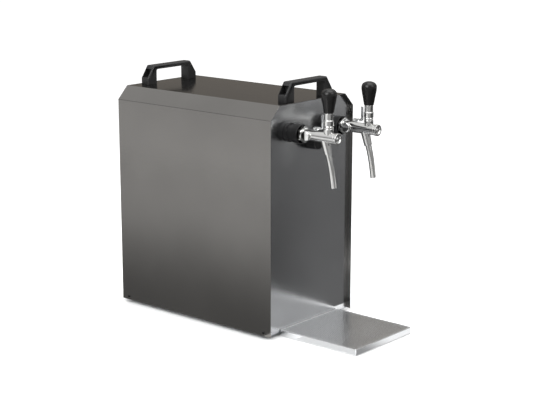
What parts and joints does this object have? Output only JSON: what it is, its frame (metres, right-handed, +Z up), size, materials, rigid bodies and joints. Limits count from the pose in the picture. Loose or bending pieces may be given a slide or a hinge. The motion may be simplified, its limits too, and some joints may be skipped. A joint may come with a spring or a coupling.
{
  "type": "over-counter beer cooler",
  "caption": "Upright over-counter beer cooler with twin lever taps on a recessed front panel, bridge carrying handles and a low perforated drip tray in front.",
  "frame": {"origin": "middle of the footprint of the case, its rear fittings and the drip tray, at counter level", "axes": "+Z up, -Y to the front where the taps and the tray are, +X to the right as seen from the rear"},
  "size_m": [0.2688, 0.628, 0.517],
  "materials": {
    "case_paint": "satin powder coat",
    "panel_paint": "gloss coat",
    "zinc_sheet": "zinc plated sheet",
    "rubber": "matte",
    "screw_steel": "plain steel",
    "handle_plastic": "satin moulded",
    "tray_steel": "polished stainless steel",
    "grate_steel": "perforated stainless steel",
    "knob_plastic": "satin",
    "black_plastic": "matte",
    "brass_pins": "plain",
    "grey_plastic": "moulded",
    "cast_aluminium": "as cast",
    "foam": "expanded foam",
    "line_steel": "drawn tube",
    "compressor_paint": "gloss black",
    "fin_aluminium": "thin fins",
    "motor_paint": "satin black",
    "fan_plastic": "moulded",
    "copper": "copper tube",
    "bush_plastic": "satin",
    "chrome": "polished",
    "spout_steel": "polished stainless steel",
    "lever_steel": "polished"
  },
  "bodies": {
    "case": {"cover": "case_paint", "front_panel": "panel_paint", "rear_panel": "panel_paint", "base_pan": "zinc_sheet", "feet": "rubber", "cover_screws": "screw_steel", "rear_screws": "screw_steel", "handle_screws": "screw_steel", "front_handle": "handle_plastic", "rear_handle": "handle_plastic", "thermostat": "black_plastic", "power_inlet": "black_plastic", "power_pins": "brass_pins", "switch_frame": "black_plastic", "left_beer_inlet": "grey_plastic", "right_beer_inlet": "grey_plastic", "inlet_nuts": "grey_plastic", "cooling_block": "cast_aluminium", "insulation": "foam", "outlet_lines": "line_steel", "inlet_lines": "line_steel", "compressor": "compressor_paint", "compressor_mounts": "rubber", "condenser": "fin_aluminium", "fan_shroud": "zinc_sheet", "fan_motor": "motor_paint", "discharge_pipe": "copper", "suction_pipe": "copper", "filter_drier": "copper", "left_tap_bush": "bush_plastic", "left_tap_shank": "chrome", "left_tap_locknut": "screw_steel", "left_tap_nut": "chrome", "left_tap_body": "chrome", "left_tap_cap": "chrome", "left_tap_collar": "chrome", "left_tap_spout": "spout_steel", "right_tap_bush": "bush_plastic", "right_tap_shank": "chrome", "right_tap_locknut": "screw_steel", "right_tap_nut": "chrome", "right_tap_body": "chrome", "right_tap_cap": "chrome", "right_tap_collar": "chrome", "right_tap_spout": "spout_steel"},
    "left_handle": {"left_tap_stem": "screw_steel", "left_tap_ferrule": "chrome", "left_tap_knob": "knob_plastic"},
    "left_valve": {"left_tap_valve": "screw_steel"},
    "left_flow_control": {"left_flow_lever": "lever_steel"},
    "right_handle": {"right_tap_stem": "screw_steel", "right_tap_ferrule": "chrome", "right_tap_knob": "knob_plastic"},
    "right_valve": {"right_tap_valve": "screw_steel"},
    "right_flow_control": {"right_flow_lever": "lever_steel"},
    "thermostat_dial": {"thermostat_knob": "knob_plastic"},
    "switch": {"switch_rocker": "black_plastic"},
    "tray": {"drip_tray": "tray_steel"},
    "grate": {"drip_grate": "grate_steel"},
    "fan": {"fan_rotor": "fan_plastic"}
  },
  "joints": [
    {"name": "left_handle_pull", "type": "hinge", "parent": "case", "child": "left_handle", "pos_m": [-0.065, -0.218, 0.438], "axis": [1, 0, 0], "range_deg": [0, 25]},
    {"name": "left_valve_slide", "type": "slide", "parent": "case", "child": "left_valve", "axis": [0, 1, 0], "range_m": [0, 0.0077]},
    {"name": "left_flow_turn", "type": "hinge", "parent": "case", "child": "left_flow_control", "pos_m": [-0.065, -0.1702, 0.418], "axis": [1, 0, 0], "range_deg": [-55, 30]},
    {"name": "right_handle_pull", "type": "hinge", "parent": "case", "child": "right_handle", "pos_m": [0.065, -0.218, 0.438], "axis": [1, 0, 0], "range_deg": [0, 25]},
    {"name": "right_valve_slide", "type": "slide", "parent": "case", "child": "right_valve", "axis": [0, 1, 0], "range_m": [0, 0.0077]},
    {"name": "right_flow_turn", "type": "hinge", "parent": "case", "child": "right_flow_control", "pos_m": [0.065, -0.1702, 0.418], "axis": [1, 0, 0], "range_deg": [-55, 30]},
    {"name": "thermostat_turn", "type": "hinge", "parent": "case", "child": "thermostat_dial", "pos_m": [0, -0.134, 0.391], "axis": [0, -1, 0], "range_deg": [0, 270]},
    {"name": "switch_tip", "type": "hinge", "parent": "case", "child": "switch", "pos_m": [0.02, 0.28705, 0.06], "axis": [0, 0, 1], "range_deg": [0, 16]},
    {"name": "tray_pull", "type": "slide", "parent": "case", "child": "tray", "axis": [0, -1, 0], "range_m": [0, 0.2]},
    {"name": "grate_lift", "type": "slide", "parent": "tray", "child": "grate", "axis": [0, 0, 1], "range_m": [0, 0.1]},
    {"name": "fan_spin", "type": "hinge", "parent": "case", "child": "fan", "pos_m": [0, 0.243, 0.314], "axis": [0, 1, 0], "continuous": true}
  ],
  "couplings": [
    {"joint": "left_valve_slide", "follows": "left_handle_pull", "m_per_rad": 0.017434},
    {"joint": "right_valve_slide", "follows": "right_handle_pull", "m_per_rad": 0.017434}
  ]
}
